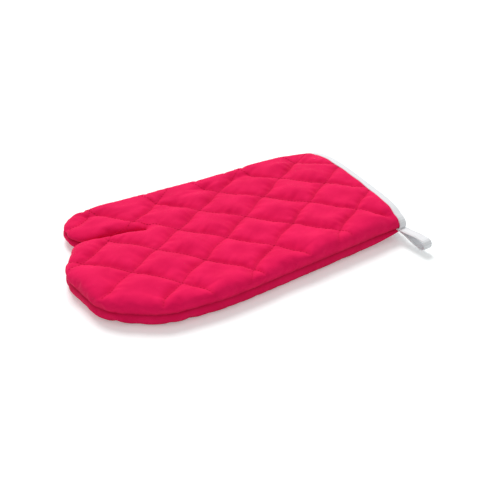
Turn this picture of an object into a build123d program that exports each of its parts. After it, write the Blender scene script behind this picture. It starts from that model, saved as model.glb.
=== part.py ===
from build123d import *
from math import atan2, cos, degrees, radians, sin
import os

# Quilted oven mitt, lying flat on its palm.  Millimetres.
# Pattern frame while building: x to the thumb side, y from the cuff to the fingertips, z up,
# zero at the middle of the cuff edge on the ground.  The last step moves the finished mitt so
# that the middle of its footprint is the origin.

# Overall form
HEIGHT = 27.0                # back above the ground at the cuff edge
SEAM_HEIGHT = 11.0           # where the two panels are sewn together
CROWN_PLANES = [(-20.0, 0.0), (15.0, 3.5), (-55.0, -3.5)]  # x and sideways lean in degrees
CROWN_FALL = 1.1             # degrees that the back drops towards the fingertips
CROWN_TRIM = 1.0             # the blank stands this much over the crown that trims it
BACK_ROLL = 12.5             # rounding of the back over the side seam
PALM_ROLL = 7.0              # rounding of the palm down to the ground
SEAM_ROLL = 3.0              # both panels turn in by this much at the seam

# Outline of the panels, as corners with a rounding radius: x, y, radius
CUFF_CORNERS_X = (-83.5, 78.5)
CUFF_OVERRUN = 60.0          # the blanks run past the cuff and are cut off square
OVERRUN_ROUND = 25.0
THUMB_CORNERS = [(61.5, 275.5, 25.0), (11.0, 275.5, 24.0)]
CROTCH_CORNERS = [(7.2, 214.0, 0.0), (5.0, 212.0, 0.0), (2.8, 214.0, 0.0)]
HAND_CORNERS = [
    (8.6, 276.0, 16.0), (-32.0, 297.0, 45.0), (-91.0, 284.5, 45.0),
    (-117.0, 240.0, 60.0), (-117.0, 187.0, 120.0),
]

# Layers of each quilted panel, from the outside in
SHELL = 1.0                  # outer cotton
PANEL = 5.4                  # shell, wadding and lining together
LINING = 0.6
SEAM_ALLOWANCE = 10.0        # outline to the inner edge of the sewn margins
POCKET_ROLL = 4.0

# Roundings are made of flat bevels, so that the many layers stay light
OUTER_STEPS = 3
PALM_STEPS = 2
INNER_STEPS = 1

# Quilting: two families of straight lines over each panel
QUILT_RISING_ANGLE = 44.0
QUILT_RISING_PITCH = 38.5
QUILT_FALLING_ANGLE = 128.0
QUILT_FALLING_PITCH = 43.0
QUILT_NODE = (-10.8, 187.1)  # a crossing of the two families
QUILT_LINES = range(-5, 6)
VALLEY_WIDTH = 2.6
VALLEY_DEPTH = 0.5
THREAD = 0.6
THREAD_RISE = 0.3

# Binding round the mouth
BINDING_WIDTH = 8.0
BINDING = 0.8
STITCH_INSET = 1.8           # stitch line to the binding's inner edge

# Hanging loop: a flattened teardrop of folded tape, sewn into the hand-side seam
TAPE_WIDTH = 9.0
TAPE = 1.4
LOOP_Y = 4.8
LOOP_SWING_X = -87.6         # line about which the free loop swings
LOOP_REACH = 25.0            # swing line to the centre of the end bend
LOOP_DROP = 4.0              # the tape is stiff, and its end droops only this far
LOOP_END_RADIUS = 5.0
LOOP_ROOT_RADIUS = 1.6
LOOP_YAW = 10.0              # the loop trails a little towards the wearer
LOOP_GAP = 0.5
TAB_BURIED = 7.0             # length of tape held inside the seam
TAB = 2.4                    # two tape ends on top of each other
TACK_LENGTH = 1.0
SEAM_START = 12.0            # the side seam is run from here, past the tab

FAR = 400.0


def beyond_cuff(cuff_x, corner):
    """Where the straight side from corner through the cuff edge ends, past the cuff."""
    slope = (corner[0] - cuff_x) / corner[1]
    return (cuff_x - slope * CUFF_OVERRUN, -CUFF_OVERRUN, OVERRUN_ROUND)


def outline(inset):
    """Mitt outline, moved inwards by inset, as a face on the ground."""
    hand_x, thumb_x = CUFF_CORNERS_X
    corners = (
        [beyond_cuff(thumb_x, THUMB_CORNERS[0])] + THUMB_CORNERS + CROTCH_CORNERS
        + HAND_CORNERS + [beyond_cuff(hand_x, HAND_CORNERS[-1])]
    )
    points = [(x, y) for x, y, _ in corners]
    edge = FilletPolyline(*points, radius=[r for _, _, r in corners], close=True)
    face = make_face(edge)
    return offset(face, amount=-inset, kind=Kind.INTERSECTION) if inset else face


def rolled(radius, steps):
    """Corners of a rounded edge: how far in and how far from its flat face, side last."""
    if radius <= 0:
        return [(0.0, 0.0)]
    angles = [radians(90 * step / steps) for step in range(steps + 1)]
    return [(radius * (1 - sin(a)), radius * (1 - cos(a))) for a in angles]


def slab(inset, low, high, low_roll, high_roll):
    """Outline raised from low to high, with its lower and upper edges rolled over.

    Each roll is (radius, steps).  Every step is one bevelled slice of the outline.
    """
    profile = [(i, low + z) for i, z in rolled(*low_roll)]
    profile += [(i, high - z) for i, z in reversed(rolled(*high_roll))]
    slices = []
    for (inset_0, z_0), (inset_1, z_1) in zip(profile, profile[1:]):
        lean = degrees(atan2(inset_1 - inset_0, z_1 - z_0))
        slices.append(Pos(0, 0, z_0) * extrude(outline(inset + inset_0), z_1 - z_0, taper=lean))
    return Part() + slices


def crown(inset):
    """Space under the domed back: three long planes side by side, moved inwards by inset."""
    below = Pos(0, 0, -FAR / 2 - inset) * Box(4 * FAR, 4 * FAR, FAR)
    sides = [Pos(x, 0, HEIGHT) * Rot(-CROWN_FALL, lean, 0) * below for x, lean in CROWN_PLANES]
    return sides[0] & sides[1] & sides[2]


def back_form(inset):
    """Everything above the seam, moved inwards by inset."""
    low = SEAM_HEIGHT + inset
    high = HEIGHT + CROWN_TRIM - inset
    steps = INNER_STEPS if inset else OUTER_STEPS
    return slab(inset, low, high, (SEAM_ROLL - inset, 1), (BACK_ROLL - inset, steps)) & crown(inset)


def palm_form(inset):
    """Everything below the seam, moved inwards by inset."""
    steps = INNER_STEPS if inset else PALM_STEPS
    return slab(inset, inset, SEAM_HEIGHT - inset, (PALM_ROLL - inset, steps), (SEAM_ROLL - inset, 1))


def pocket(grow):
    """Hollow for the hand and thumb, grown by the given thickness."""
    wall = PANEL - grow
    roll = (POCKET_ROLL + grow, 1)
    high = HEIGHT + CROWN_TRIM - wall
    return slab(SEAM_ALLOWANCE - grow, wall, high, roll, roll) & crown(wall)


def span(y0, y1):
    """Box that holds everything between two distances from the cuff edge."""
    return Pos(0, (y0 + y1) / 2, 0) * Box(2 * FAR, y1 - y0, FAR)


def layer(z0, z1):
    """Box that holds everything between two heights."""
    return Pos(0, 0, (z0 + z1) / 2) * Box(4 * FAR, 4 * FAR, z1 - z0)


def quilt_lines(width):
    """Thin upright walls that stand on every quilting line."""
    walls = []
    families = [
        (QUILT_RISING_ANGLE, QUILT_RISING_PITCH),
        (QUILT_FALLING_ANGLE, QUILT_FALLING_PITCH),
    ]
    for angle, pitch in families:
        for line in QUILT_LINES:
            place = Pos(*QUILT_NODE, 0) * Rot(0, 0, angle) * Pos(0, line * pitch, 0)
            walls.append(place * Box(2 * FAR, width, FAR))
    return Part() + walls


def quilted_panel(form, inside, quilted):
    """Outer cotton, wadding and quilting thread of one panel.

    The cotton steps in under the binding.  On the quilted stretch every quilting line is a
    valley in the cotton with the thread lying in it.
    """
    bare = span(BINDING_WIDTH, FAR)
    step = span(BINDING_WIDTH, BINDING_WIDTH + SHELL)
    bound = span(BINDING, BINDING_WIDTH + SHELL)
    full = form(0)
    below = form(SHELL)
    tucked = form(BINDING + SHELL)
    cotton = (
        ((full - below) & bare) + ((full - tucked) & step)
        + ((form(BINDING) - tucked) & span(BINDING, BINDING_WIDTH))
    ) - inside
    wadding = ((below & span(BINDING_WIDTH + SHELL, FAR)) + (tucked & bound)) - inside
    open_face = quilted & span(BINDING_WIDTH + SHELL, FAR)
    face_skin = form(VALLEY_DEPTH - THREAD_RISE) & open_face
    valley_floor = form(VALLEY_DEPTH)
    valleys = ((full & open_face) - valley_floor) & quilt_lines(VALLEY_WIDTH)
    threads = (face_skin - valley_floor) & quilt_lines(THREAD)
    return cotton - valleys, wadding, threads


hollow = pocket(0)
lined_hollow = pocket(LINING)
bound_hollow = pocket(-BINDING)
above = layer(SEAM_HEIGHT, FAR)
under = layer(-FAR, SEAM_HEIGHT)

back_field = extrude(outline(BACK_ROLL), FAR) & above
palm_field = extrude(outline(PALM_ROLL), SEAM_HEIGHT / 2)
back_shell, back_wadding, back_quilting_thread = quilted_panel(back_form, lined_hollow, back_field)
palm_shell, palm_wadding, palm_quilting_thread = quilted_panel(palm_form, lined_hollow, palm_field)
lining = (lined_hollow - hollow) & span(BINDING, FAR)
back_lining = lining & above
palm_lining = lining & under

# Binding: one tape folded over the raw edge of both panels, inside and out
body = back_form(0) + palm_form(0)
body_tucked = back_form(BINDING) + palm_form(BINDING)
cuff_binding = ((body - bound_hollow) & span(0, BINDING_WIDTH)) - (
    (body_tucked - hollow) & span(BINDING, BINDING_WIDTH)
) - lining

# Stitching that holds the binding down, flush in both faces of the tape
stitch_y = BINDING_WIDTH - STITCH_INSET
stitch_ring = span(stitch_y - THREAD / 2, stitch_y + THREAD / 2)
body_groove = back_form(THREAD_RISE) + palm_form(THREAD_RISE)
binding_stitch = (
    (body - body_groove) + (pocket(THREAD_RISE - BINDING) - bound_hollow)
) & stitch_ring
binding_stitch -= lining
cuff_binding -= binding_stitch

# Side seam: thread run round the outline, caught between the two panels
seam_line = outline(SEAM_ROLL + SHELL) - outline(SEAM_ROLL + SHELL + THREAD)
side_seam_thread = Pos(0, 0, SEAM_HEIGHT - THREAD / 2) * extrude(seam_line, THREAD)
side_seam_thread &= span(SEAM_START, FAR)
back_shell -= side_seam_thread
palm_shell -= side_seam_thread

# Hanging loop, drawn with its swing line at zero and reaching out along -x
loop_place = Pos(LOOP_SWING_X, LOOP_Y, SEAM_HEIGHT) * Rot(0, 0, LOOP_YAW)
root = Circle(LOOP_ROOT_RADIUS)
end = Pos(-LOOP_REACH, -LOOP_DROP) * Circle(LOOP_END_RADIUS)
teardrop = make_hull((root + end).edges())
ring = teardrop - offset(teardrop, amount=-TAPE)
upright = Rot(90, 0, 0)
hanging_loop = loop_place * upright * extrude(ring, TAPE_WIDTH / 2, both=True)

# Tab: the two ends of the loop's tape, sewn into the seam beside the binding
tab_start = LOOP_ROOT_RADIUS + LOOP_GAP
tab_end = CUFF_CORNERS_X[0] - LOOP_SWING_X + TAB_BURIED
tab_length = tab_end - tab_start
loop_tab = loop_place * Pos(tab_start + tab_length / 2, 0, 0) * Box(tab_length, TAPE_WIDTH, TAB)
tack = Box(TACK_LENGTH, TAPE_WIDTH - THREAD, TAB + 2 * THREAD_RISE)
loop_bar_tack = loop_place * Pos(tab_start + TACK_LENGTH, 0, 0) * tack - loop_tab

nodes = {
    "back_shell": back_shell - loop_tab,
    "back_wadding": back_wadding - loop_tab,
    "back_lining": back_lining,
    "back_quilting_thread": back_quilting_thread,
    "palm_shell": palm_shell - loop_tab,
    "palm_wadding": palm_wadding - loop_tab,
    "palm_lining": palm_lining,
    "palm_quilting_thread": palm_quilting_thread,
    "side_seam_thread": side_seam_thread,
    "cuff_binding": cuff_binding - loop_tab - loop_bar_tack,
    "binding_stitch": binding_stitch - loop_tab,
    "loop_tab": loop_tab,
    "loop_bar_tack": loop_bar_tack,
    "hanging_loop": hanging_loop,
}

# The middle of the footprint becomes the origin
footprint = Compound(list(nodes.values())).bounding_box()
to_origin = Pos(-footprint.center().X, -footprint.center().Y, 0)

os.makedirs("parts", exist_ok=True)
for name, solid in nodes.items():
    export_step(to_origin * solid, f"parts/{name}.step")

print("pattern frame zero moves to", to_origin.position)
print("loop swings about", (to_origin * loop_place).position)
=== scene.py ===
import bmesh
import bpy
import numpy as np
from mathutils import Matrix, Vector


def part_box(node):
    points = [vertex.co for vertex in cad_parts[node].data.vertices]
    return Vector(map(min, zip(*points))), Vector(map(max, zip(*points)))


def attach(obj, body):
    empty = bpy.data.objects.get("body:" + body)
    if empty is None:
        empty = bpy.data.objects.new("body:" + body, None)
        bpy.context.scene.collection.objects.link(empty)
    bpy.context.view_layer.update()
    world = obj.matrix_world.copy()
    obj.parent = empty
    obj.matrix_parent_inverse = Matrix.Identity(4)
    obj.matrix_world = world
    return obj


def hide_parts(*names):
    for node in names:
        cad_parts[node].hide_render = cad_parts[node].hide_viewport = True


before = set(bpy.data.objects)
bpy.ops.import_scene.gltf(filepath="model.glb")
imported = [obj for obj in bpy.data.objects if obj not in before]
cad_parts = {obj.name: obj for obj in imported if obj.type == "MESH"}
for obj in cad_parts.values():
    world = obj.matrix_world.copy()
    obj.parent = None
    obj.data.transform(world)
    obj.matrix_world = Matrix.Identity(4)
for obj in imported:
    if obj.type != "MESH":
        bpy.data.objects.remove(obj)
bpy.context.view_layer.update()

# Pattern zero: the middle of the cuff edge on the ground.  The mitt is drawn from here in
# millimetres, x to the thumb side and y to the fingertips, as its maker's paper pattern is.
cuff_low, cuff_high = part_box("cuff_binding")
CUFF_THUMB_X = 78.5
zero = np.array([cuff_high[0] - CUFF_THUMB_X / 1000, cuff_low[1], 0.0])


def placed(points):
    """Pattern millimetres to the row frame: a thousandth, moved to pattern zero."""
    return zero + np.asarray(points, dtype=float) / 1000


# Camera: a 60 mm lens on the hand side, beyond the fingertips, looking down at the palm's middle.
camera_data = bpy.data.cameras.new("camera")
camera_data.lens = 60.48
camera_data.sensor_width = 36.0
camera = bpy.data.objects.new("camera", camera_data)
camera.location = Vector(placed((-600.4, 408.4, 389.0)))
aim = Vector(placed((-76.2, 150.6, 24.0)))
camera.rotation_euler = (aim - camera.location).to_track_quat("-Z", "Y").to_euler()
bpy.context.scene.collection.objects.link(camera)
bpy.context.scene.camera = camera
bpy.context.scene.view_settings.view_transform = "Standard"

# Floor: a wide sheet of white paper.  It looks white wherever the mitt doesn't shade it.
paper = bpy.data.materials.new("white_paper")
paper.use_nodes = True
nodes = paper.node_tree.nodes
links = paper.node_tree.links
nodes.clear()
paper_rays = nodes.new("ShaderNodeLightPath")
paper_matt = nodes.new("ShaderNodeBsdfDiffuse")
paper_matt.inputs["Color"].default_value = (0.86, 0.90, 0.90, 1)
paper_shine = nodes.new("ShaderNodeEmission")
paper_shine.inputs["Color"].default_value = (1, 1, 1, 1)
paper_shine.inputs["Strength"].default_value = 0.26
paper_both = nodes.new("ShaderNodeAddShader")
paper_mix = nodes.new("ShaderNodeMixShader")
paper_out = nodes.new("ShaderNodeOutputMaterial")
links.new(paper_matt.outputs[0], paper_both.inputs[0])
links.new(paper_shine.outputs[0], paper_both.inputs[1])
links.new(paper_rays.outputs["Is Camera Ray"], paper_mix.inputs[0])
links.new(paper_matt.outputs[0], paper_mix.inputs[1])
links.new(paper_both.outputs[0], paper_mix.inputs[2])
links.new(paper_mix.outputs[0], paper_out.inputs["Surface"])
floor_mesh = bpy.data.meshes.new("floor")
floor_mesh.from_pydata([(-8, -8, 0), (8, -8, 0), (8, 8, 0), (-8, 8, 0)], [], [(0, 1, 2, 3)])
floor_mesh.materials.append(paper)
floor = bpy.data.objects.new("floor", floor_mesh)
bpy.context.scene.collection.objects.link(floor)

# Studio: a white room that fills the shadows, and one broad soft light from above the thumb side.
room = bpy.data.worlds.new("white_room")
bpy.context.scene.world = room
room.use_nodes = True
nodes = room.node_tree.nodes
links = room.node_tree.links
nodes.clear()
room_rays = nodes.new("ShaderNodeLightPath")
room_fill = nodes.new("ShaderNodeBackground")
room_fill.inputs["Color"].default_value = (1, 1, 1, 1)
room_fill.inputs["Strength"].default_value = 0.54
room_seen = nodes.new("ShaderNodeBackground")
room_seen.inputs["Color"].default_value = (1, 1, 1, 1)
room_seen.inputs["Strength"].default_value = 1.0
room_mix = nodes.new("ShaderNodeMixShader")
room_out = nodes.new("ShaderNodeOutputWorld")
links.new(room_rays.outputs["Is Camera Ray"], room_mix.inputs[0])
links.new(room_fill.outputs[0], room_mix.inputs[1])
links.new(room_seen.outputs[0], room_mix.inputs[2])
links.new(room_mix.outputs[0], room_out.inputs["Surface"])

soft_data = bpy.data.lights.new("soft_light", "SUN")
soft_data.energy = 2.05
soft_data.angle = np.radians(28)
soft_light = bpy.data.objects.new("soft_light", soft_data)
soft_light.rotation_euler = Vector((-0.72, 0.10, -1.0)).to_track_quat("-Z", "Y").to_euler()
bpy.context.scene.collection.objects.link(soft_light)

# Back of the mitt: one panel of crimson cotton, quilted in diamonds over wadding and rolled
# over the wadding at the side seam.  Its corners are x, y and the radius that rounds them.
CUFF_HAND_X = -83.5
HAND_SLOPE = 0.179
THUMB_SLOPE = 0.0617
CUFF_OVERRUN = 60.0
THUMB_CORNERS = [(61.5, 275.5, 25.0), (11.0, 275.5, 24.0)]
CROTCH_CORNERS = [(6.5, 212.0, 1.4), (3.5, 212.0, 1.4)]
HAND_CORNERS = [
    (8.6, 276.0, 16.0), (-32.0, 297.0, 45.0), (-91.0, 284.5, 45.0),
    (-117.0, 240.0, 60.0), (-117.0, 187.0, 120.0),
]
SEAM_HEIGHT = 11.0
SEAM_INSET = 3.0
QUILT_NODE = np.array([-10.8, 187.1])
QUILT_ANGLES = np.radians([44.0, 128.0])
QUILT_PITCHES = np.array([38.5, 43.0])
QUILT_ACROSS = np.stack([-np.sin(QUILT_ANGLES), np.cos(QUILT_ANGLES)], axis=1)
QUILT_TO_SPOT = np.linalg.inv(QUILT_ACROSS / QUILT_PITCHES[:, None])
QUILT_STEPS = 18
PUFF_BLOWN = 1.4
PUFF_LIMIT = 4.0
HEM = 1.0
PALM_HEIGHT = 3.2
PALM_CORNER = 6.5
CREASE = 1.6
PUCKER = 0.28
PUCKER_PITCH = 9.5
FOLD = 0.6
GATHER = 0.7
WANDER = 1.3
PLUMP = 9.0
GRIP = 0.6
GRIP_REACH = 0.8
# Painted shade: how dark the crease attribute makes the cloth on the stitch lines and at the side seam.
STITCH_SHADE = 0.45
SEAM_SHADE = 0.9
ROLL_DEPTH = 12.5
ROLL_ROWS = 11
COTTON_WALL = 0.0006
CLOTH_WALL = 0.0005


def past_cuff(cuff_x, corner):
    """Where the straight side from a corner through the cuff edge ends, past the cuff."""
    slope = (corner[0] - cuff_x) / corner[1]
    return (cuff_x - slope * CUFF_OVERRUN, -CUFF_OVERRUN, 25.0)


def rounded_outline(corners, turn=0.06):
    """Closed line through the corners, each replaced by an arc that touches both of its sides."""
    spots = np.array([c[:2] for c in corners])
    before = np.roll(spots, 1, axis=0) - spots
    after = np.roll(spots, -1, axis=0) - spots
    before /= np.linalg.norm(before, axis=1)[:, None]
    after /= np.linalg.norm(after, axis=1)[:, None]
    runs = []
    for spot, a, b, (_, _, radius) in zip(spots, before, after, corners):
        half = np.arccos(np.clip(a @ b, -1, 1)) / 2
        middle = spot + (a + b) / np.linalg.norm(a + b) * radius / np.sin(half)
        start = spot + a * radius / np.tan(half) - middle
        end = spot + b * radius / np.tan(half) - middle
        sweep = np.arctan2(start[0] * end[1] - start[1] * end[0], start @ end)
        angles = np.linspace(0, sweep, max(3, int(abs(sweep) / turn) + 2))
        side = np.array([-start[1], start[0]])
        runs.append(middle + np.outer(np.cos(angles), start) + np.outer(np.sin(angles), side))
    return np.concatenate(runs)


OUTLINE = rounded_outline(
    [past_cuff(CUFF_THUMB_X, THUMB_CORNERS[0])] + THUMB_CORNERS + CROTCH_CORNERS
    + HAND_CORNERS + [past_cuff(CUFF_HAND_X, HAND_CORNERS[-1])]
)


def from_edge(spots):
    """Distance inwards from the outline, and the direction straight out of it.

    The nearest point is taken on every run of the outline; it counts as inside where a line
    to the left crosses the outline an odd number of times.
    """
    a = OUTLINE[:, None]
    run = np.roll(OUTLINE, -1, axis=0)[:, None] - a
    offset = spots[None] - a
    along = np.clip((offset * run).sum(2) / (run * run).sum(2), 0, 1)
    gap = along[..., None] * run - offset
    length = np.linalg.norm(gap, axis=2)
    nearest = length.argmin(0)
    pick = np.arange(len(spots))
    crosses = (a[..., 1] > spots[None, :, 1]) != ((a + run)[..., 1] > spots[None, :, 1])
    level = np.where(run[..., 1] == 0, 1, run[..., 1])
    cross_x = a[..., 0] + (spots[None, :, 1] - a[..., 1]) / level * run[..., 0]
    inside = (crosses & (cross_x < spots[None, :, 0])).sum(0) % 2 == 1
    sign = np.where(inside, 1.0, -1.0)
    nearest_length = length[nearest, pick]
    out = gap[nearest, pick] / np.maximum(nearest_length, 1e-6)[:, None] * sign[:, None]
    return nearest_length * sign, out


def quilt_place(spots):
    """Place in the quilting: whole numbers are stitch lines of the one and the other family."""
    return (spots - QUILT_NODE) @ QUILT_ACROSS.T / QUILT_PITCHES


def quilt_grid(inset, steps, first_y):
    """Grid laid along both quilting directions and trimmed to the outline moved in by inset.

    Squares whose middle is inside are kept, and what is left of the rim is moved onto the
    outline or onto the line y = first_y.  Gives the spots and the squares.
    """
    reach = np.arange(-7 * steps, 7 * steps + 1) / steps
    first, second = np.meshgrid(reach, reach, indexing="ij")
    spots = np.stack([first.ravel(), second.ravel()], axis=1) @ QUILT_TO_SPOT.T + QUILT_NODE
    number = np.arange(len(spots)).reshape(first.shape)
    squares = np.stack(
        [number[:-1, :-1], number[1:, :-1], number[1:, 1:], number[:-1, 1:]], axis=-1
    ).reshape(-1, 4)
    middles = spots[squares].mean(1)
    past_hem = (middles[:, 1] > first_y) & (middles[:, 1] < 300)
    near = (np.abs(middles[:, 0] + 20) < 110) & past_hem
    squares = squares[near]
    squares = squares[from_edge(middles[near])[0] > inset]
    used, squares = np.unique(squares, return_inverse=True)
    squares = squares.reshape(-1, 4)
    spots = spots[used]
    rim = np.bincount(squares.ravel(), minlength=len(spots)) < 4
    depth, out = from_edge(spots)
    to_outline = rim & (np.abs(depth - inset) < np.abs(spots[:, 1] - first_y))
    spots[to_outline] += out[to_outline] * (depth[to_outline] - inset)[:, None]
    to_hem = (rim & ~to_outline) | (spots[:, 1] < first_y)
    spots[to_hem, 1] = first_y
    return spots, squares


def panel_net(steps, roll, rows, first_y):
    """Flat net of a panel: rows that follow the outline, and inside them the quilting grid.

    The rows lie from SEAM_INSET to roll inside the outline, on straight lines between even steps
    round the outline and round the line that runs roll inside it.  The grid's squares are those
    with all corners a little deeper, and triangles fill the gap.  What lies past the cuff, beyond
    first_y, is cut off.  Gives the spots and the faces.
    """
    ahead = np.roll(OUTLINE, -1, axis=0) - np.roll(OUTLINE, 1, axis=0)
    ahead /= np.linalg.norm(ahead, axis=1)[:, None]
    inner = OUTLINE + roll * np.column_stack([-ahead[:, 1], ahead[:, 0]])
    both = np.concatenate([OUTLINE, inner], axis=1)
    both = np.concatenate([both, both[:1]])
    walk = np.diff(both, axis=0).reshape(-1, 2, 2)
    far = np.concatenate([[0], np.linalg.norm(walk, axis=2).mean(1).cumsum()])
    count = int(far[-1] / 2.0)
    even = np.linspace(0, far[-1], count, endpoint=False)
    both = np.stack([np.interp(even, far, both[:, k]) for k in range(4)], axis=1)
    share = np.linspace(SEAM_INSET / roll, 1, rows)[:, None, None]
    band = (both[None, :, :2] * (1 - share) + both[None, :, 2:] * share).reshape(-1, 2)
    i, j = [a.ravel() for a in np.meshgrid(np.arange(rows - 1), np.arange(count), indexing="ij")]
    next_j = (j + 1) % count
    near, far_row = i * count, (i + 1) * count
    squares = np.column_stack([near + j, near + next_j, far_row + next_j, far_row + j])

    reach = np.arange(-8 * steps, 8 * steps + 1) / steps
    first, second = np.meshgrid(reach, reach, indexing="ij")
    spots = np.stack([first.ravel(), second.ravel()], axis=1) @ QUILT_TO_SPOT.T + QUILT_NODE
    number = np.arange(len(spots)).reshape(first.shape)
    grid = np.stack([number[:-1, :-1], number[1:, :-1], number[1:, 1:], number[:-1, 1:]], axis=-1)
    deep = np.zeros(len(spots), dtype=bool)
    near = (np.abs(spots[:, 0] + 20) < 110) & (np.abs(spots[:, 1] - 120) < 180)
    deep[near] = from_edge(spots[near])[0] > roll + 0.9
    grid = grid.reshape(-1, 4)
    grid = grid[deep[grid].all(1)]
    used, grid = np.unique(grid, return_inverse=True)
    spots = np.concatenate([band, spots[used]])
    squares = np.concatenate([squares, grid.reshape(-1, 4) + len(band)])

    mesh = bmesh.new()
    flat = bpy.data.meshes.new("flat_net")
    flat.from_pydata(np.column_stack([spots, 0 * spots[:, 0]]).tolist(), [], squares.tolist())
    mesh.from_mesh(flat)
    last_row = (rows - 1) * count
    rims = [
        edge for edge in mesh.edges
        if edge.is_boundary and min(corner.index for corner in edge.verts) >= last_row
    ]
    filled = bmesh.ops.triangle_fill(mesh, edges=rims, use_beauty=True, normal=(0, 0, 1))
    corners = [
        [corner.index for corner in face.verts]
        for face in filled["geom"] if isinstance(face, bmesh.types.BMFace)
    ]
    mesh.free()
    bpy.data.meshes.remove(flat)
    triangles = np.array(corners)
    first_side = spots[triangles[:, 1]] - spots[triangles[:, 0]]
    second_side = spots[triangles[:, 2]] - spots[triangles[:, 0]]
    turned = np.cross(first_side, second_side) < 0
    triangles[turned] = triangles[turned, ::-1]
    squares = squares[(spots[squares, 1] > first_y - 1).all(1)]
    triangles = triangles[(spots[triangles, 1] > first_y - 1).all(1)]
    used = np.unique(np.concatenate([squares.ravel(), triangles.ravel()]))
    spots = spots[used]
    spots[:, 1] = np.maximum(spots[:, 1], first_y)
    faces = np.searchsorted(used, squares).tolist() + np.searchsorted(used, triangles).tolist()
    return spots, faces


def straight_sides(y):
    """x of the hand-side and the thumb-side edge at a distance y from the cuff."""
    return CUFF_HAND_X - HAND_SLOPE * y, CUFF_THUMB_X - THUMB_SLOPE * y


def puffs(spots):
    """Rise of the wadding between the stitch lines: a blunt cushion on every diamond."""
    place = quilt_place(spots)
    waves = np.abs(np.sin(np.pi * place))
    return (waves[:, 0] * waves[:, 1]) ** 0.55


def back_height(spots):
    """Height of the stitch lines on the back: level over the palm, arched up at the cuff."""
    x, y = spots.T
    hand, thumb = straight_sides(y)
    middle = (hand + thumb) / 2
    power = np.where(x < middle, 7.0, 2.8)
    lens = 1 - np.abs((x - middle) / ((thumb - hand) / 2)).clip(0, 1) ** power
    palm = 19.0 + 4.0 * np.exp(-(((y - 55) / 60) ** 2))
    palm += 2.5 * np.exp(-((x + 55) ** 2 + (y - 240) ** 2) / (2 * 40.0 ** 2))
    palm -= 2.5 * np.exp(-((x - 45) ** 2 + (y - 272) ** 2) / (2 * 16.0 ** 2))
    palm -= 1.6 * np.clip((x - 5) / 45, 0, 1)
    near_cuff = np.exp(-((y / 40) ** 2))
    bound = 3.8 * (1 - y.clip(0, 10) / 10) ** 2 * lens
    return palm * (1 - near_cuff) + (14.0 + 13.5 * lens) * near_cuff - bound


def wandered(spots):
    """Spots moved by up to WANDER millimetres each way, in slow waves, as hand-fed stitching runs."""
    x, y = spots.T
    wave = np.column_stack([np.sin(x / 9 + y / 14), np.sin(x / 12 - y / 8 + 2)])
    free = settled(spots, 6.0) * np.clip((y - 10) / 20, 0, 1)
    return spots + WANDER * free[:, None] * wave


def settled(spots, first):
    """0 as far in from the outline as first, rising to 1 over the next 8 mm.

    On the thumb side, whose edge is the plumper one, first is up to PLUMP further in.
    """
    return np.clip((from_edge(spots)[0] - first - PLUMP * thumb_side(spots)) / 8, 0, 1)


def thumb_side(spots):
    """0 on the hand side and round the thumb's tip, rising to 1 along the thumb's long side."""
    x, y = spots.T
    return np.clip((x - 15) / 30, 0, 1) * np.clip((260 - y) / 30, 0, 1)


def pulled_down(spots):
    """How hard the stitching pulls, from 0.5 to 1.2: uneven, and slack at the thumb's tip."""
    x, y = spots.T
    slack = np.exp(-((x - 42) ** 2 + (y - 266) ** 2) / (2 * 15.0 ** 2))
    return (0.9 + 0.3 * np.sin(x / 13 + y / 19) * np.sin(x / 21 - y / 11)) * (1 - 0.75 * slack)


def palm_height(spots):
    """Height of the palm's underside before it is pressed flat: raised at both cuff corners."""
    x, y = spots.T
    hand, thumb = straight_sides(y)
    aside = np.abs((2 * x - hand - thumb) / (thumb - hand)).clip(0, 1)
    return PALM_HEIGHT + PALM_CORNER * aside ** 3 * np.exp(-((y / 45) ** 2))


def back_roll(spots):
    """Width of the roll over the side seam: wide along the hand, tighter towards the cuff.

    Beside the crotch it is tight too, because thumb and hand press on each other there.
    """
    x, y = spots.T
    pressed = np.exp(-(((x - 7) / 16) ** 2)) * np.clip((y - 195) / 15, 0, 1)
    return 12.5 - 4.5 * np.exp(-((y / 60) ** 2)) - 5.0 * pressed


def rolled(spots, face_z, roll, inwards=0.0, puff=0.0, notch=SEAM_INSET, swell=0.0, first=7.0):
    """Panel surface: flat at face_z, rolled over to the side seam within roll of the outline.

    The roll is an oval arc.  It starts at the seam, notch in from the outline, swells out to
    the outline and turns over onto the flat.  inwards moves the surface square to itself into
    the mitt, puff lifts it square to itself between the stitch lines, from first in from the
    outline, and swell is how far the roll stands out past the outline.
    """
    depth, out = from_edge(spots)
    start = np.arccos((roll - notch) / roll)
    turn = np.clip((depth - notch) / (roll - notch), 0, 1)
    angle = turn * (np.pi / 2 + start) - start
    inset = np.where(turn < 1, roll * (1 - np.cos(angle)), depth)
    shoulder = SEAM_HEIGHT + 0.35 * (face_z - SEAM_HEIGHT)
    above = (face_z - shoulder) * np.sin(angle)
    below = (shoulder - SEAM_HEIGHT) * np.sin(angle) / np.sin(start)
    z = shoulder + np.where(angle > 0, above, below)
    side = np.sign(np.mean(face_z) - SEAM_HEIGHT)
    square = np.column_stack([out * np.cos(angle)[:, None], side * np.sin(angle)])
    bulge = swell * np.cos(angle) * np.clip(turn / 0.3, 0, 1)
    flat = wandered(spots) + out * (depth - inset + bulge)[:, None]
    lift = puff * puffs(spots) * settled(spots, first) ** 2 * np.clip((spots[:, 1] - 6.5) / 5, 0, 1)
    return np.column_stack([flat, z]) + square * (lift - inwards)[:, None]


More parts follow.
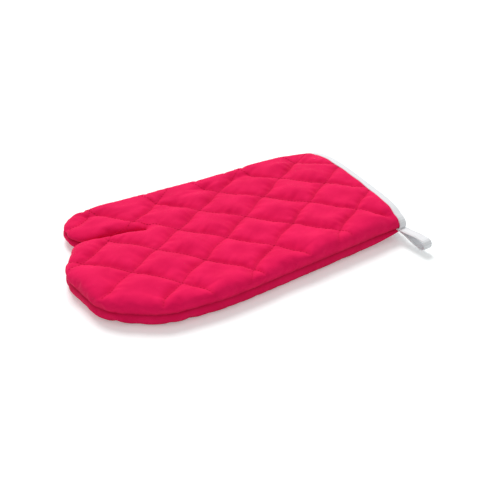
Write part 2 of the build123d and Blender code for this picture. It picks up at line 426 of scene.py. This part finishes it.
def relief(spots, first=6.0):
    """Rise of the cloth at its stitching: a sharp crease, puckers beside it, folds between.

    The crease fades away with distance from the stitch line.  A pucker is a wave along the line,
    highest 3 mm beside it.  The folds are three crossing waves that die away at the lines.
    From each corner of the mouth a fan of gathers runs out, strongest 22 mm from it.
    """
    place = quilt_place(spots)
    line = np.round(place)
    aside = np.abs(place - line) * QUILT_PITCHES
    along = place[:, ::-1] * QUILT_PITCHES[::-1]
    crease = -CREASE * np.exp(-aside.min(1) / 2.0) * pulled_down(spots)
    wave = np.sin(2 * np.pi * along / PUCKER_PITCH + 2.4 * line + 1.5 * np.sin(along / 17 + line))
    pucker = PUCKER * (wave * aside / 3 * np.exp(1 - aside / 3)).sum(1)
    x, y = spots.T
    folds = np.sin(x / 6.1 + y / 9.3) + np.sin(y / 11.9 - x / 4.7 + 1) + np.sin(x / 13.1 - y / 5.3 + 2)
    inner = settled(spots, first) * np.clip((y - 9) / 6, 0, 1)
    gather = np.zeros(len(spots))
    for corner_x, way in ((CUFF_HAND_X, 1), (CUFF_THUMB_X, -1)):
        far = np.hypot(x - corner_x, y)
        fan = np.sin(9 * np.arctan2(y, way * (x - corner_x)) + 1)
        gather += GATHER * fan * np.exp(-(((far - 22) / 12) ** 2))
    return (crease + pucker + gather + FOLD * folds * puffs(spots)) * inner


def inflated(points, faces, held, pressure, spare):
    """Points after the cloth is blown up between its held points for twenty steps.

    It is worked ten times as large, for the solver's springs, with spare as the share of
    extra cloth, and no point moves further than PUFF_LIMIT.
    """
    grown = 0.01
    mesh = bpy.data.meshes.new("cloth")
    mesh.from_pydata((points * grown).tolist(), [], faces)
    cloth = bpy.data.objects.new("cloth", mesh)
    bpy.context.scene.collection.objects.link(cloth)
    cloth.vertex_groups.new(name="held").add(np.flatnonzero(held).tolist(), 1.0, "REPLACE")
    solver = cloth.modifiers.new("cloth", "CLOTH")
    solver.collision_settings.use_collision = False
    fabric = solver.settings
    fabric.vertex_group_mass = "held"
    fabric.mass = 0.05
    fabric.tension_stiffness = fabric.compression_stiffness = 6
    fabric.shear_stiffness = 3
    fabric.bending_stiffness = 0.06
    fabric.use_pressure = True
    fabric.uniform_pressure_force = pressure
    fabric.shrink_min = -spare
    fabric.effector_weights.gravity = 0
    for step in range(1, 21):
        bpy.context.scene.frame_set(step)
    worked = cloth.evaluated_get(bpy.context.evaluated_depsgraph_get())
    blown = np.empty(len(points) * 3, dtype=np.float32)
    worked.data.vertices.foreach_get("co", blown)
    bpy.data.objects.remove(cloth)
    bpy.context.scene.frame_set(1)
    move = blown.reshape(-1, 3) / grown - points
    length = np.linalg.norm(move, axis=1)[:, None]
    return points + move * np.minimum(1, PUFF_LIMIT / np.maximum(length, 1e-6))


def sewn_piece(name, points, faces, material):
    """Mesh of the given faces over pattern points, smooth, in the row frame."""
    mesh = bpy.data.meshes.new(name)
    mesh.from_pydata(placed(points).tolist(), [], [list(face) for face in faces])
    mesh.shade_smooth()
    mesh.materials.append(material)
    mesh.validate()
    piece = bpy.data.objects.new(name, mesh)
    bpy.context.scene.collection.objects.link(piece)
    return piece


def thickened(piece, name, wall):
    """Gives a sheet its cloth's thickness, inwards, and rounds its facets."""
    cloth = piece.modifiers.new(name, "SOLIDIFY")
    cloth.thickness = wall
    rounding = piece.modifiers.new("rounding", "SUBSURF")
    rounding.levels = rounding.render_levels = 1


def paint_seam_and_stitch_shade(piece, spots):
    """Attribute of painted shade: highest on the stitch lines and in the side seam's groove, falling
    away over a millimetre or two.
    """
    place = quilt_place(spots)
    aside = (np.abs(place - np.round(place)) * QUILT_PITCHES).min(1)
    shade = STITCH_SHADE * np.exp(-aside / 1.3) * settled(spots, 3.0) * pulled_down(spots)
    shade += SEAM_SHADE * np.exp(-np.maximum(from_edge(spots)[0] - SEAM_INSET, 0) / GRIP_REACH)
    piece.data.attributes.new("crease", "FLOAT", "POINT").data.foreach_set("value", shade)


def cotton(name, colour, deep, shade_colour=None, thread=0.55, relief=0.35, sheen=0.045):
    """Plain-weave cotton: two crossing sets of fine ribs, with slightly uneven dye.

    Where the piece's own crease attribute says so, it takes a darker colour: painted shade along
    the stitch lines and in the groove of the side seam.
    """
    material = bpy.data.materials.new(name)
    material.use_nodes = True
    nodes = material.node_tree.nodes
    links = material.node_tree.links
    shader = nodes["Principled BSDF"]
    shader.inputs["Roughness"].default_value = 0.7
    shader.inputs["Sheen Weight"].default_value = sheen
    shader.inputs["Sheen Roughness"].default_value = 0.45
    shader.inputs["Specular IOR Level"].default_value = 0.04
    coords = nodes.new("ShaderNodeTexCoord")
    ribs = []
    for direction in ("X", "Y"):
        rib = nodes.new("ShaderNodeTexWave")
        rib.bands_direction = direction
        rib.inputs["Scale"].default_value = 1000 / thread / 20 * 3.1416
        rib.inputs["Distortion"].default_value = 0.6
        rib.inputs["Detail"].default_value = 1.0
        links.new(coords.outputs["Object"], rib.inputs["Vector"])
        ribs.append(rib)
    weave = nodes.new("ShaderNodeMath")
    weave.operation = "MULTIPLY"
    links.new(ribs[0].outputs["Fac"], weave.inputs[0])
    links.new(ribs[1].outputs["Fac"], weave.inputs[1])
    bump = nodes.new("ShaderNodeBump")
    bump.inputs["Strength"].default_value = relief
    bump.inputs["Distance"].default_value = 0.0002
    links.new(weave.outputs[0], bump.inputs["Height"])
    links.new(bump.outputs[0], shader.inputs["Normal"])
    dye = nodes.new("ShaderNodeTexNoise")
    dye.inputs["Scale"].default_value = 60.0
    dye.inputs["Detail"].default_value = 5.0
    links.new(coords.outputs["Object"], dye.inputs["Vector"])
    ramp = nodes.new("ShaderNodeValToRGB")
    ramp.color_ramp.elements[0].position = 0.3
    ramp.color_ramp.elements[0].color = (*deep, 1)
    ramp.color_ramp.elements[1].position = 0.7
    ramp.color_ramp.elements[1].color = (*colour, 1)
    links.new(dye.outputs["Fac"], ramp.inputs["Fac"])
    links.new(ramp.outputs["Color"], shader.inputs["Base Color"])
    # Painted shade: the crease attribute mixes in the darker colour along the stitch lines and in the
    # seam groove.
    if shade_colour:
        crease = nodes.new("ShaderNodeAttribute")
        crease.attribute_name = "crease"
        tint = nodes.new("ShaderNodeMix")
        tint.data_type = "RGBA"
        tint.inputs["B"].default_value = (*shade_colour, 1)
        links.new(crease.outputs["Fac"], tint.inputs["Factor"])
        links.new(ramp.outputs["Color"], tint.inputs["A"])
        links.new(tint.outputs["Result"], shader.inputs["Base Color"])
    return material


CRIMSON = (0.90, 0.010, 0.108)
DEEP_CRIMSON = (0.79, 0.005, 0.086)
# Painted shade: darker crimson that stands in for the shade in the stitch-line creases and the side-seam
# groove.
SHADE_CRIMSON = (0.50, 0.003, 0.045)
crimson = cotton("crimson_cotton", CRIMSON, DEEP_CRIMSON, shade_colour=SHADE_CRIMSON)
back_spots, back_faces = panel_net(QUILT_STEPS, ROLL_DEPTH, ROLL_ROWS, HEM)
back_place = quilt_place(back_spots)
quilt_gap = (np.abs(back_place - np.round(back_place)) * QUILT_PITCHES).min(1)
on_stitching = quilt_gap < 0.8
in_hem = back_spots[:, 1] < 7
edge_gap = from_edge(back_spots)[0]
back_rim = edge_gap < SEAM_INSET + 0.1
start_puff = PUFF_BLOWN
back_points = rolled(back_spots, back_height(back_spots), back_roll(back_spots), puff=start_puff)
back_held = back_rim | in_hem | (on_stitching & (settled(back_spots, 8.0) > 0.5))
back_points = inflated(back_points, back_faces, back_held, 2.2, 0.022)
gripped = GRIP * np.exp(-np.maximum(edge_gap - SEAM_INSET, 0) / GRIP_REACH)
back_points[:, 2] += relief(back_spots) - gripped
back = sewn_piece("back_quilting", back_points, back_faces, crimson)
# Painted shade in the stitch-line creases and the side-seam groove, through the crease attribute.
paint_seam_and_stitch_shade(back, back_spots)
thickened(back, "cotton", COTTON_WALL)
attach(back, "mitt")
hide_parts("back_shell", "back_quilting_thread")

# Palm of the mitt: the same panel turned over, pressed flat by the surface it lies on.
PALM_ROLL = 9.0
PALM_SWELL = 1.0
PALM_FIRST = 13.0
palm_puff = 0.6 * start_puff
palm_points = rolled(
    back_spots, palm_height(back_spots), PALM_ROLL,
    puff=palm_puff, swell=PALM_SWELL, first=PALM_FIRST,
)
palm_faces = [face[::-1] for face in back_faces]
palm_held = back_rim | in_hem | (on_stitching & (settled(back_spots, 14.0) > 0.5))
palm_points = inflated(palm_points, palm_faces, palm_held, 2.0, 0.012)
palm_points[:, 2] -= relief(back_spots, PALM_FIRST) - gripped
palm_points[:, 2] = np.maximum(palm_points[:, 2], 0.5)
palm = sewn_piece("palm_quilting", palm_points, palm_faces, crimson)
# Painted shade in the stitch-line creases and the side-seam groove, through the crease attribute.
paint_seam_and_stitch_shade(palm, back_spots)
thickened(palm, "cotton", COTTON_WALL)
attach(palm, "mitt")
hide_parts("palm_shell", "palm_quilting_thread")

# Linings: plain pale cotton on the inside of each panel, sewn up a seam's width in from the
# outline, so that the hollow between them is a flat lens.
SEAM_ALLOWANCE = 10.0
PANEL = 5.6
LINING_STEPS = 8


def lining_height(spots, side):
    """Height of a panel's inside: seam height at the seam allowance, opening to the hollow.

    side is 1 under the back and -1 over the palm.  The opening is a quarter oval 14 mm wide.
    """
    rise = np.clip((from_edge(spots)[0] - SEAM_ALLOWANCE) / 14, 0, 1)
    oval = np.sqrt(1 - (1 - rise) ** 2)
    full = back_height(spots) - PANEL if side > 0 else palm_height(spots) + 2.6
    quilted = 0.7 * puffs(spots) * rise * np.clip((spots[:, 1] - 8) / 9, 0, 1)
    return SEAM_HEIGHT + (full - SEAM_HEIGHT) * oval - side * quilted + 0.3 * side


lining_cotton = cotton("lining_cotton", (0.80, 0.78, 0.73), (0.76, 0.74, 0.69))
lining_spots, lining_squares = quilt_grid(SEAM_ALLOWANCE, LINING_STEPS, HEM)
for name, side in (("back_lining", 1), ("palm_lining", -1)):
    points = np.column_stack([lining_spots, lining_height(lining_spots, side)])
    squares = lining_squares[:, ::-1] if side > 0 else lining_squares
    lining = sewn_piece(name + "_cloth", points, squares, lining_cotton)
    thickened(lining, "lining", CLOTH_WALL)
    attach(lining, "mitt")
    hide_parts(name)

# Wadding: a soft felted layer that fills each panel between its cotton and its lining, and is
# held there by the quilting.  It stops short of the side seam and lies under the cotton's roll.
WADDING_STEPS = 8
WADDING_BACK = 4.5
WADDING_DEPTH = 3.7
felt = bpy.data.materials.new("felted_wadding")
felt.use_nodes = True
felt_shader = felt.node_tree.nodes["Principled BSDF"]
felt_shader.inputs["Roughness"].default_value = 0.95
felt_coords = felt.node_tree.nodes.new("ShaderNodeTexCoord")
felt_fibres = felt.node_tree.nodes.new("ShaderNodeTexNoise")
felt_fibres.inputs["Scale"].default_value = 900.0
felt_fibres.inputs["Detail"].default_value = 6.0
felt_tint = felt.node_tree.nodes.new("ShaderNodeValToRGB")
felt_tint.color_ramp.elements[0].color = (0.78, 0.77, 0.73, 1)
felt_tint.color_ramp.elements[1].color = (0.90, 0.89, 0.86, 1)
felt.node_tree.links.new(felt_coords.outputs["Object"], felt_fibres.inputs["Vector"])
felt.node_tree.links.new(felt_fibres.outputs["Fac"], felt_tint.inputs["Fac"])
felt.node_tree.links.new(felt_tint.outputs["Color"], felt_shader.inputs["Base Color"])
wadding_spots, wadding_squares = quilt_grid(SEAM_INSET + WADDING_BACK, WADDING_STEPS, HEM + 1)
for name, side in (("back_wadding", 1), ("palm_wadding", -1)):
    if side > 0:
        height, roll = back_height(wadding_spots), back_roll(wadding_spots)
    else:
        height, roll = palm_height(wadding_spots), PALM_ROLL
    outer = rolled(wadding_spots, height, roll, inwards=WADDING_DEPTH)
    inner = np.column_stack([wadding_spots, lining_height(wadding_spots, side) + 0.9 * side])
    inner[:, 2] = np.where(side * (outer[:, 2] - inner[:, 2]) > 0, inner[:, 2], outer[:, 2] - 0.2 * side)
    count = len(wadding_spots)
    edges = np.concatenate([wadding_squares[:, [a, (a + 1) % 4]] for a in range(4)])
    twins = {(b, a) for a, b in edges.tolist()}
    rim = np.array([e for e in edges.tolist() if tuple(e) not in twins])
    walls = np.column_stack([rim[:, 1], rim[:, 0], rim[:, 0] + count, rim[:, 1] + count])
    faces = np.concatenate([wadding_squares, wadding_squares[:, ::-1] + count, walls])
    if side < 0:
        faces = faces[:, ::-1]
    wadding = sewn_piece(name + "_felt", np.concatenate([outer, inner]), faces, felt)
    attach(wadding, "mitt")
    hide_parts(name)

# Binding: a strip of white cotton tape folded over the raw edge of the mouth, inside and out,
# and carried once round it.
BINDING_WIDTH = 8.0
BINDING_NOTCH = 1.4
BINDING_RISE = 0.9
ROUND_STEPS = 110
MOUTH_PULL = 2.4
HAND_LEAN = 1.016
THUMB_LEAN = 1.002


def tape_cotton(name, colour, rib):
    """White cotton tape: fine ribs straight across it, faint weave along it, matt."""
    material = bpy.data.materials.new(name)
    material.use_nodes = True
    nodes = material.node_tree.nodes
    links = material.node_tree.links
    shader = nodes["Principled BSDF"]
    shader.inputs["Roughness"].default_value = 0.8
    shader.inputs["Specular IOR Level"].default_value = 0.25
    shader.inputs["Sheen Weight"].default_value = 0.1
    coords = nodes.new("ShaderNodeTexCoord")
    ribs = nodes.new("ShaderNodeTexWave")
    ribs.bands_direction = "X"
    ribs.inputs["Scale"].default_value = 3.1416 / 20 / rib
    ribs.inputs["Distortion"].default_value = 0.5
    links.new(coords.outputs["UV"], ribs.inputs["Vector"])
    bump = nodes.new("ShaderNodeBump")
    bump.inputs["Strength"].default_value = 0.4
    bump.inputs["Distance"].default_value = 0.0002
    links.new(ribs.outputs["Fac"], bump.inputs["Height"])
    links.new(bump.outputs[0], shader.inputs["Normal"])
    tint = nodes.new("ShaderNodeValToRGB")
    tint.color_ramp.elements[0].color = (*(np.array(colour) * 0.93), 1)
    tint.color_ramp.elements[1].color = (*colour, 1)
    links.new(ribs.outputs["Fac"], tint.inputs["Fac"])
    links.new(tint.outputs["Color"], shader.inputs["Base Color"])
    return material


def carried_tape(name, points, lengths, material, ring=True, tube=False):
    """Mesh over a grid of points, along the tape and across it, with its map in millimetres.

    ring joins the last row to the first, and tube the last column to the first.
    """
    rows, columns = points.shape[:2]
    row = np.arange(rows if ring else rows - 1)
    column = np.arange(columns if tube else columns - 1)
    i, j = [a.ravel() for a in np.meshgrid(row, column, indexing="ij")]
    next_i, next_j = (i + 1) % rows, (j + 1) % columns
    faces = np.stack([i, next_i, next_i, i]) * columns + np.stack([j, j, next_j, next_j])
    piece = sewn_piece(name, points.reshape(-1, 3), faces.T, material)
    along = np.stack([i, i + 1, i + 1, i]) / rows * lengths[0]
    across = np.stack([j, j, j + 1, j + 1]) / columns * lengths[1]
    flat = np.stack([along.T, across.T], axis=-1).ravel()
    piece.data.uv_layers.new(name="tape").data.foreach_set("uv", flat)
    return piece


def mouth_ring(y, inner, rise):
    """Closed line round the mouth at distances y from the cuff edge, outside or inside.

    It runs from the hand-side seam over the back to the thumb side and returns by the palm,
    closer together at the rolled sides.  rise lifts it off the panel.
    """
    half = (1 - np.cos(np.linspace(0, np.pi, ROUND_STEPS + 1)[:-1])) / 2
    start = SEAM_ALLOWANCE if inner else BINDING_NOTCH
    hand, thumb = straight_sides(y)
    hand = hand + start * HAND_LEAN
    thumb = thumb - start * THUMB_LEAN
    corner = MOUTH_PULL * (1 - y / BINDING_WIDTH) * (2 * half - 1) ** 8
    over = np.column_stack([hand + (thumb - hand) * half, y + corner])
    under = np.column_stack([thumb + (hand - thumb) * half, y + corner])
    if inner:
        top = np.column_stack([over, lining_height(over, 1) - rise])
        bottom = np.column_stack([under, lining_height(under, -1) + rise])
    else:
        top = rolled(over, back_height(over), back_roll(over), -rise, notch=BINDING_NOTCH)
        bottom = rolled(under, palm_height(under), PALM_ROLL, -rise, notch=BINDING_NOTCH)
    return np.concatenate([top, bottom])


white_tape = tape_cotton("white_tape", (0.86, 0.87, 0.89), 0.9)
ring_places = np.linspace(0, 2 * np.pi, 2 * ROUND_STEPS, endpoint=False)
hem_wave = 0.35 * np.sin(7 * ring_places + 1) + 0.25 * np.sin(17 * ring_places)
outside = []
for y in np.linspace(BINDING_WIDTH, 0.0, 9):
    ring = mouth_ring(y, False, BINDING_RISE)
    ring[:, 1] += hem_wave * y / BINDING_WIDTH
    outside.append(ring)
inside = [mouth_ring(y, True, 0.7) for y in np.linspace(0.0, BINDING_WIDTH, 7)]
tuck_out = mouth_ring(BINDING_WIDTH, False, 0.1)
tuck_out[:, 1] += hem_wave + 0.3
tuck_in = mouth_ring(BINDING_WIDTH + 0.3, True, 0.0)
fold = []
for angle in np.linspace(0, np.pi, 9)[1:-1]:
    ring = (outside[-1] * (1 + np.cos(angle)) + inside[0] * (1 - np.cos(angle))) / 2
    ring[:, 1] -= 1.6 * np.sin(angle)
    fold.append(ring)
rings = [tuck_out] + outside + fold + inside + [tuck_in]
binding_points = np.stack(rings, axis=1)
binding_points[..., 2] = np.maximum(binding_points[..., 2], 0.35)
round_length = np.linalg.norm(np.diff(outside[0], axis=0), axis=1).sum()
binding = carried_tape("cuff_binding_tape", binding_points, (round_length, 27.0), white_tape)
thickened(binding, "tape", CLOTH_WALL)
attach(binding, "mitt")
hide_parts("cuff_binding")

# Binding stitches: white thread along both edges of the binding, which holds it to the mouth.
# Each stitch is a short length, sunk into the cloth at both ends, three millimetres from the next.
STITCH = 2.3
STITCH_PITCH = 3.0


def stitches(name, starts, ends, ups, radius, material):
    """Row of stitches: a six-sided tube for each, thinner and lower at its ends.

    Each stitch is bowed along its own up direction by its radius.
    """
    along = np.linspace(0, 1, 5)
    girth = radius * np.array([0.35, 0.9, 1.0, 0.9, 0.35])
    bow = radius * np.array([-0.9, 0.25, 0.6, 0.25, -0.9])
    run = ends - starts
    side = np.cross(run, ups)
    side /= np.linalg.norm(side, axis=1)[:, None]
    centres = starts[:, None] + along[None, :, None] * run[:, None] + bow[None, :, None] * ups[:, None]
    turn = np.linspace(0, 2 * np.pi, 6, endpoint=False)
    rim = np.cos(turn)[None, :, None] * side[:, None] + np.sin(turn)[None, :, None] * ups[:, None]
    points = centres[:, :, None] + girth[None, :, None, None] * rim[:, None]
    grid = np.meshgrid(np.arange(len(starts)), np.arange(4), np.arange(6), indexing="ij")
    k, i, j = [a.ravel() for a in grid]
    base = k * 30
    near, far = base + i * 6, base + i * 6 + 6
    next_j = (j + 1) % 6
    faces = np.column_stack([near + j, near + next_j, far + next_j, far + j])
    each = np.arange(len(starts))[:, None] * 30
    caps = np.concatenate([each + np.arange(6)[::-1][None], each + 24 + np.arange(6)[None]])
    mesh = bpy.data.meshes.new(name)
    mesh.from_pydata(placed(points.reshape(-1, 3)).tolist(), [], faces.tolist() + caps.tolist())
    mesh.shade_smooth()
    mesh.materials.append(material)
    piece = bpy.data.objects.new(name, mesh)
    bpy.context.scene.collection.objects.link(piece)
    return piece


def along_line(line, pitch=STITCH_PITCH, length=STITCH):
    """Starts and ends of the stitches that fit along a line of points."""
    far = np.concatenate([[0], np.linalg.norm(np.diff(line, axis=0), axis=1).cumsum()])
    first = np.arange(0, far[-1] - length, pitch)
    starts = np.stack([np.interp(first, far, line[:, k]) for k in range(3)], axis=1)
    ends = np.stack([np.interp(first + length, far, line[:, k]) for k in range(3)], axis=1)
    return starts, ends


def laid_on(panel, points, side):
    """Points dropped straight down onto a finished panel, or raised to it where side is -1.

    Those with no cloth under them are left out.
    """
    mesh = bpy.data.meshes.new("thread_places")
    mesh.from_pydata(placed(points).tolist(), [], [])
    thread_places = bpy.data.objects.new("thread_places", mesh)
    bpy.context.scene.collection.objects.link(thread_places)
    drop = thread_places.modifiers.new("drop", "SHRINKWRAP")
    drop.target = panel
    drop.wrap_method = "PROJECT"
    drop.use_project_z = True
    drop.use_negative_direction = side > 0
    drop.use_positive_direction = side < 0
    worked = thread_places.evaluated_get(bpy.context.evaluated_depsgraph_get())
    laid = np.empty(len(points) * 3, dtype=np.float32)
    worked.data.vertices.foreach_get("co", laid)
    bpy.data.objects.remove(thread_places)
    laid = (laid.reshape(-1, 3) - zero) * 1000
    met = np.abs(laid[:, 2] - points[:, 2]) > 0.5
    return laid[met] + np.array([0, 0, 0.12 * side])


white_thread = cotton("white_thread", (0.84, 0.85, 0.87), (0.78, 0.79, 0.81), thread=0.3)
rows = []
binding_row = BINDING_WIDTH - 1.8
for inner, rise in ((False, BINDING_RISE + 0.25), (True, 1.0)):
    ring = mouth_ring(binding_row, inner, rise)
    if not inner:
        ring[:, 1] += hem_wave * binding_row / BINDING_WIDTH
    starts, ends = along_line(np.concatenate([ring, ring[:1]]))
    ups = np.zeros_like(starts)
    ups[:, 2] = np.where(starts[:, 2] > SEAM_HEIGHT, 1.0, -1.0) * (-1.0 if inner else 1.0)
    rows.append((starts, ends, ups))
starts, ends, ups = [np.concatenate(part) for part in zip(*rows)]
binding_stitches = stitches("binding_stitches", starts, ends, ups, 0.28, white_thread)
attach(binding_stitches, "mitt")
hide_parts("binding_stitch")

# Quilting stitches: crimson thread along every stitch line of both panels, through all layers.
# They lie on the finished cotton and end where it rolls over to the side seam.
crimson_thread = cotton("crimson_thread", (0.80, 0.007, 0.088), (0.70, 0.005, 0.074), thread=0.3)
for name, panel, side in (("back", back, 1), ("palm", palm, -1)):
    rows = []
    for family in (0, 1):
        for line in range(-6, 7):
            reach = np.linspace(-6, 6, 2400)
            place = np.empty((len(reach), 2))
            place[:, family] = line
            place[:, 1 - family] = reach
            spots = place @ QUILT_TO_SPOT.T + QUILT_NODE
            beyond_binding = (spots[:, 1] > BINDING_WIDTH + 1) & (spots[:, 1] < 300)
            spots = spots[(np.abs(spots[:, 0] + 20) < 110) & beyond_binding]
            if len(spots) < 4:
                continue
            kept = from_edge(spots)[0] > SEAM_INSET + 5
            spots = spots[kept]
            if len(spots) < 40:
                continue
            if side > 0:
                line_points = rolled(spots, back_height(spots) + 9, back_roll(spots))
            else:
                line_points = rolled(spots, palm_height(spots) - 9, PALM_ROLL, swell=PALM_SWELL)
            line_points = laid_on(panel, line_points, side)
            starts, ends = along_line(line_points)
            run = np.linalg.norm(ends - starts, axis=1)
            rows.append((starts[run < 4], ends[run < 4]))
    starts, ends = [np.concatenate(part) for part in zip(*rows)]
    ups = np.tile([0.0, 0.0, float(side)], (len(starts), 1))
    seam = stitches(name + "_quilting_stitches", starts, ends, ups, 0.24, crimson_thread)
    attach(seam, "mitt")

# Side seam: the crimson thread that joins back and palm, deep in the groove between their rolls.
# It is the frame's own piece, in the quilting thread's material.
seam_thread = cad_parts["side_seam_thread"]
seam_thread.data.materials.clear()
seam_thread.data.materials.append(crimson_thread)

# Hanging loop: one white tape, folded in its width and stitched along both edges, bent into a
# flat loop whose two ends are sewn into the hand-side seam beside the binding.
TAPE_WIDTH = 9.0
TAPE = 1.3
LOOP_Y = 4.8
LOOP_SWING_X = -87.6
LOOP_REACH = 25.0
LOOP_DROP = 2.0
LOOP_END_RADIUS = 4.3
LOOP_ROOT_RADIUS = 0.95
LOOP_YAW = np.radians(10)


def beside_seam(out, wide, high):
    """Loop drawing to pattern: out from the seam, wide along the tape's width, high upwards."""
    start = np.array([LOOP_SWING_X, LOOP_Y, SEAM_HEIGHT])
    outward = np.array([-np.cos(LOOP_YAW), -np.sin(LOOP_YAW), 0])
    sideways = np.array([-np.sin(LOOP_YAW), np.cos(LOOP_YAW), 0])
    upward = np.array([0, 0, 1.0])
    parts = [np.asarray(a, dtype=float)[..., None] for a in (out, wide, high)]
    return start + parts[0] * outward + parts[1] * sideways + parts[2] * upward


def tape_section(width, thickness, count=24):
    """Outline of folded tape, across and through it: an oval with nearly square ends."""
    turn = np.linspace(0, 2 * np.pi, count, endpoint=False)
    wide = np.sign(np.cos(turn)) * np.abs(np.cos(turn)) ** 0.45 * width / 2
    thick = np.sign(np.sin(turn)) * np.abs(np.sin(turn)) ** 0.7 * thickness / 2
    return wide, thick


def loop_line(count):
    """Closed middle line of the loop: out from the seam, a wide bend, and back underneath.

    It is the tight line round two circles, evened out and softened so that the tape springs.
    """
    middle = np.array([LOOP_REACH, -LOOP_DROP])
    apart = np.hypot(*middle)
    lean = np.arctan2(middle[1], middle[0])
    open_angle = np.arcsin((LOOP_END_RADIUS - LOOP_ROOT_RADIUS) / apart)
    end = np.linspace(np.pi / 2 + open_angle, -np.pi / 2 - open_angle, 60) + lean
    root = np.linspace(-np.pi / 2 - open_angle, -3 * np.pi / 2 + open_angle, 30) + lean
    line = np.concatenate([
        middle + LOOP_END_RADIUS * np.column_stack([np.cos(end), np.sin(end)]),
        LOOP_ROOT_RADIUS * np.column_stack([np.cos(root), np.sin(root)]),
    ])
    line = np.concatenate([line, line[:1]])
    far = np.concatenate([[0], np.linalg.norm(np.diff(line, axis=0), axis=1).cumsum()])
    even = np.linspace(0, far[-1], count, endpoint=False)
    line = np.column_stack([np.interp(even, far, line[:, k]) for k in (0, 1)])
    centre = middle[1] / middle[0] * line[:, 0]
    part = (line[:, 0] / (0.88 * LOOP_REACH)).clip(0, 1)
    opening = (0.75 + 3.2 * part ** 2 * (3 - 2 * part)) / (0.95 + 2.95 * part)
    line[:, 1] = centre + (line[:, 1] - centre) * opening
    for _ in range(4):
        line = (np.roll(line, 1, axis=0) + 2 * line + np.roll(line, -1, axis=0)) / 4
    return line, far[-1]


middle_line, loop_length = loop_line(120)
ahead = np.roll(middle_line, -1, axis=0) - np.roll(middle_line, 1, axis=0)
ahead /= np.linalg.norm(ahead, axis=1)[:, None]
outer_side = np.column_stack([-ahead[:, 1], ahead[:, 0]])
wide, thick = tape_section(TAPE_WIDTH, TAPE)
flat = middle_line[:, None] + outer_side[:, None] * thick[None, :, None]
loop_points = beside_seam(flat[..., 0], np.broadcast_to(wide, flat.shape[:2]), flat[..., 1])
loop_points[..., 2] = np.maximum(loop_points[..., 2], 0.25)
loop = carried_tape("hanging_loop_tape", loop_points, (loop_length, 20.0), white_tape, tube=True)
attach(loop, "loop")
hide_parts("hanging_loop")

with_ends = np.arange(6, 110, 3)
rows = []
for wide_at in (-3.2, 3.2):
    for face in (1, -1):
        flat = middle_line + face * outer_side * (TAPE / 2 + 0.02)
        line = beside_seam(flat[:, 0], np.full(len(flat), wide_at), flat[:, 1])
        outwards = face * outer_side
        normal = beside_seam(outwards[:, 0], np.zeros(len(flat)), outwards[:, 1])
        normal -= np.array([LOOP_SWING_X, LOOP_Y, SEAM_HEIGHT])
        rows.append((line[with_ends], line[with_ends + 2], normal[with_ends + 1]))
starts, ends, ups = [np.concatenate(part) for part in zip(*rows)]
loop_stitches = stitches("loop_edge_stitches", starts, ends, ups, 0.2, white_thread)
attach(loop_stitches, "loop")

# Ends of the loop's tape: the two of them on top of each other, held in the side seam, with a
# bar of close zigzag stitches where they come out of it.
TAB_BURIED = 7.0
tab_reach = np.linspace(-2.0, -(CUFF_HAND_X - LOOP_SWING_X + TAB_BURIED), 12)
wide, thick = tape_section(TAPE_WIDTH, 2.3, 28)
waist = 1 - 0.12 * np.exp(-((tab_reach + 4.5) / 1.2) ** 2)
tab_points = beside_seam(
    np.repeat(tab_reach[:, None], len(wide), axis=1),
    np.repeat(wide[None], len(tab_reach), axis=0),
    waist[:, None] * thick[None],
)
tab = carried_tape("loop_tab_tape", tab_points, (9.0, 20.0), white_tape, ring=False, tube=True)
tab_net = bmesh.new()
tab_net.from_mesh(tab.data)
bmesh.ops.holes_fill(tab_net, edges=[edge for edge in tab_net.edges if edge.is_boundary])
bmesh.ops.recalc_face_normals(tab_net, faces=tab_net.faces)
tab_net.to_mesh(tab.data)
tab_net.free()
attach(tab, "mitt")
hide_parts("loop_tab")

tack_wide = np.linspace(-4.0, 4.0, 19)
tack_out = np.where(np.arange(19) % 2 == 0, -2.4, -3.6)
tack_line = beside_seam(tack_out, tack_wide, np.full(19, 1.25))
tack_under = beside_seam(tack_out, tack_wide, np.full(19, -1.25))
starts = np.concatenate([tack_line[:-1], tack_under[:-1]])
ends = np.concatenate([tack_line[1:], tack_under[1:]])
ups = np.repeat([[0, 0, 1.0], [0, 0, -1.0]], 18, axis=0)
tack = stitches("loop_bar_tack_stitches", starts, ends, ups, 0.22, white_thread)
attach(tack, "mitt")
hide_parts("loop_bar_tack")
